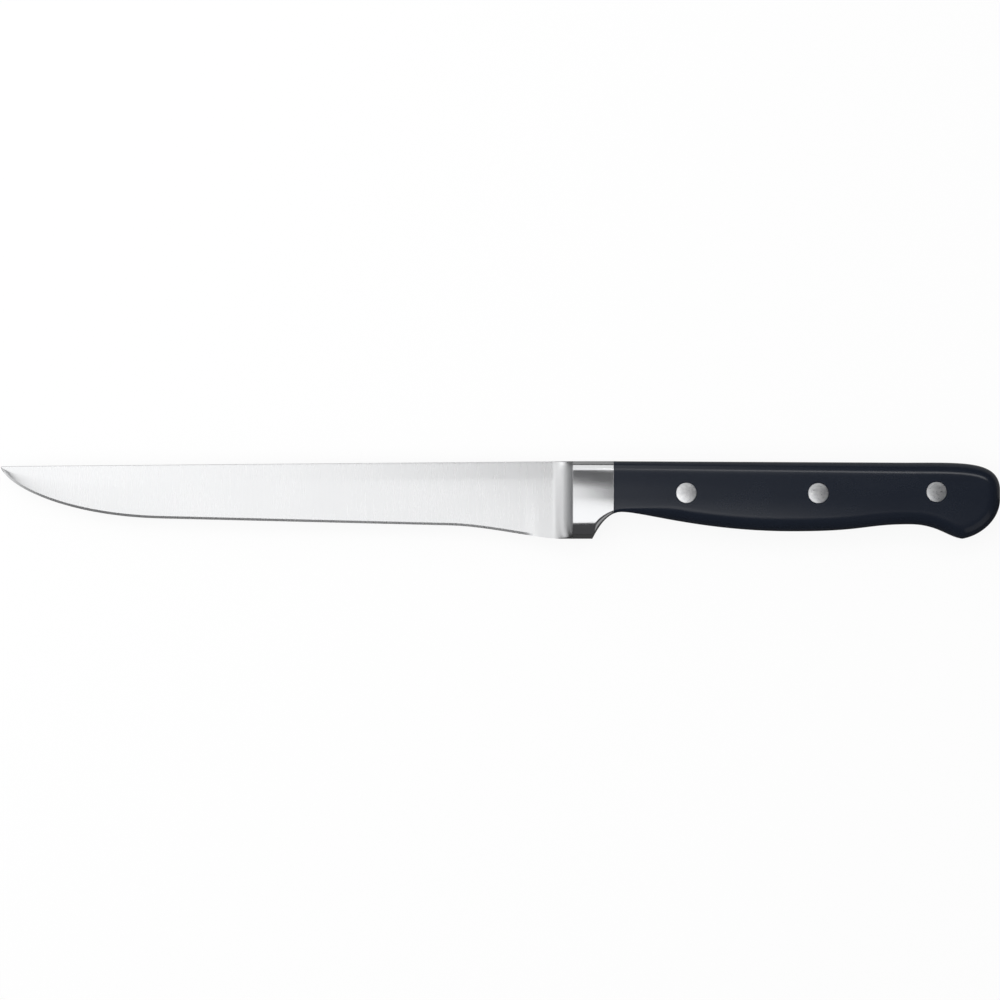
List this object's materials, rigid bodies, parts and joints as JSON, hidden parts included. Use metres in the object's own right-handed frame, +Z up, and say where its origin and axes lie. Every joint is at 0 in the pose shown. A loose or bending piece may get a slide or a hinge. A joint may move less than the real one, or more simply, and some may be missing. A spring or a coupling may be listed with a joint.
{
  "type": "fillet knife",
  "caption": "Slim kitchen knife for filleting and boning: narrow upswept blade, forged full bolster with finger guard, riveted black grip scales on a full tang.",
  "frame": {"origin": "middle of the outline's box in the side view, on the plane that the right cheek rests on", "axes": "+X from tip to butt, +Y from edge to spine, +Z up through the thickness from the right cheek to the left"},
  "size_m": [0.3146, 0.0244, 0.0152],
  "materials": {
    "blade_steel": "satin ground blade and tang, polished bolster",
    "grip_plastic": "satin blue-black moulded plastic",
    "rivet_steel": "rivet heads ground flush and lightly brushed"
  },
  "bodies": {
    "root": {"forged_blade": "blade_steel", "left_scale": "grip_plastic", "right_scale": "grip_plastic", "front_rivet_sleeve": "rivet_steel", "front_rivet_pin": "rivet_steel", "middle_rivet_sleeve": "rivet_steel", "middle_rivet_pin": "rivet_steel", "rear_rivet_sleeve": "rivet_steel", "rear_rivet_pin": "rivet_steel"}
  },
  "joints": []
}
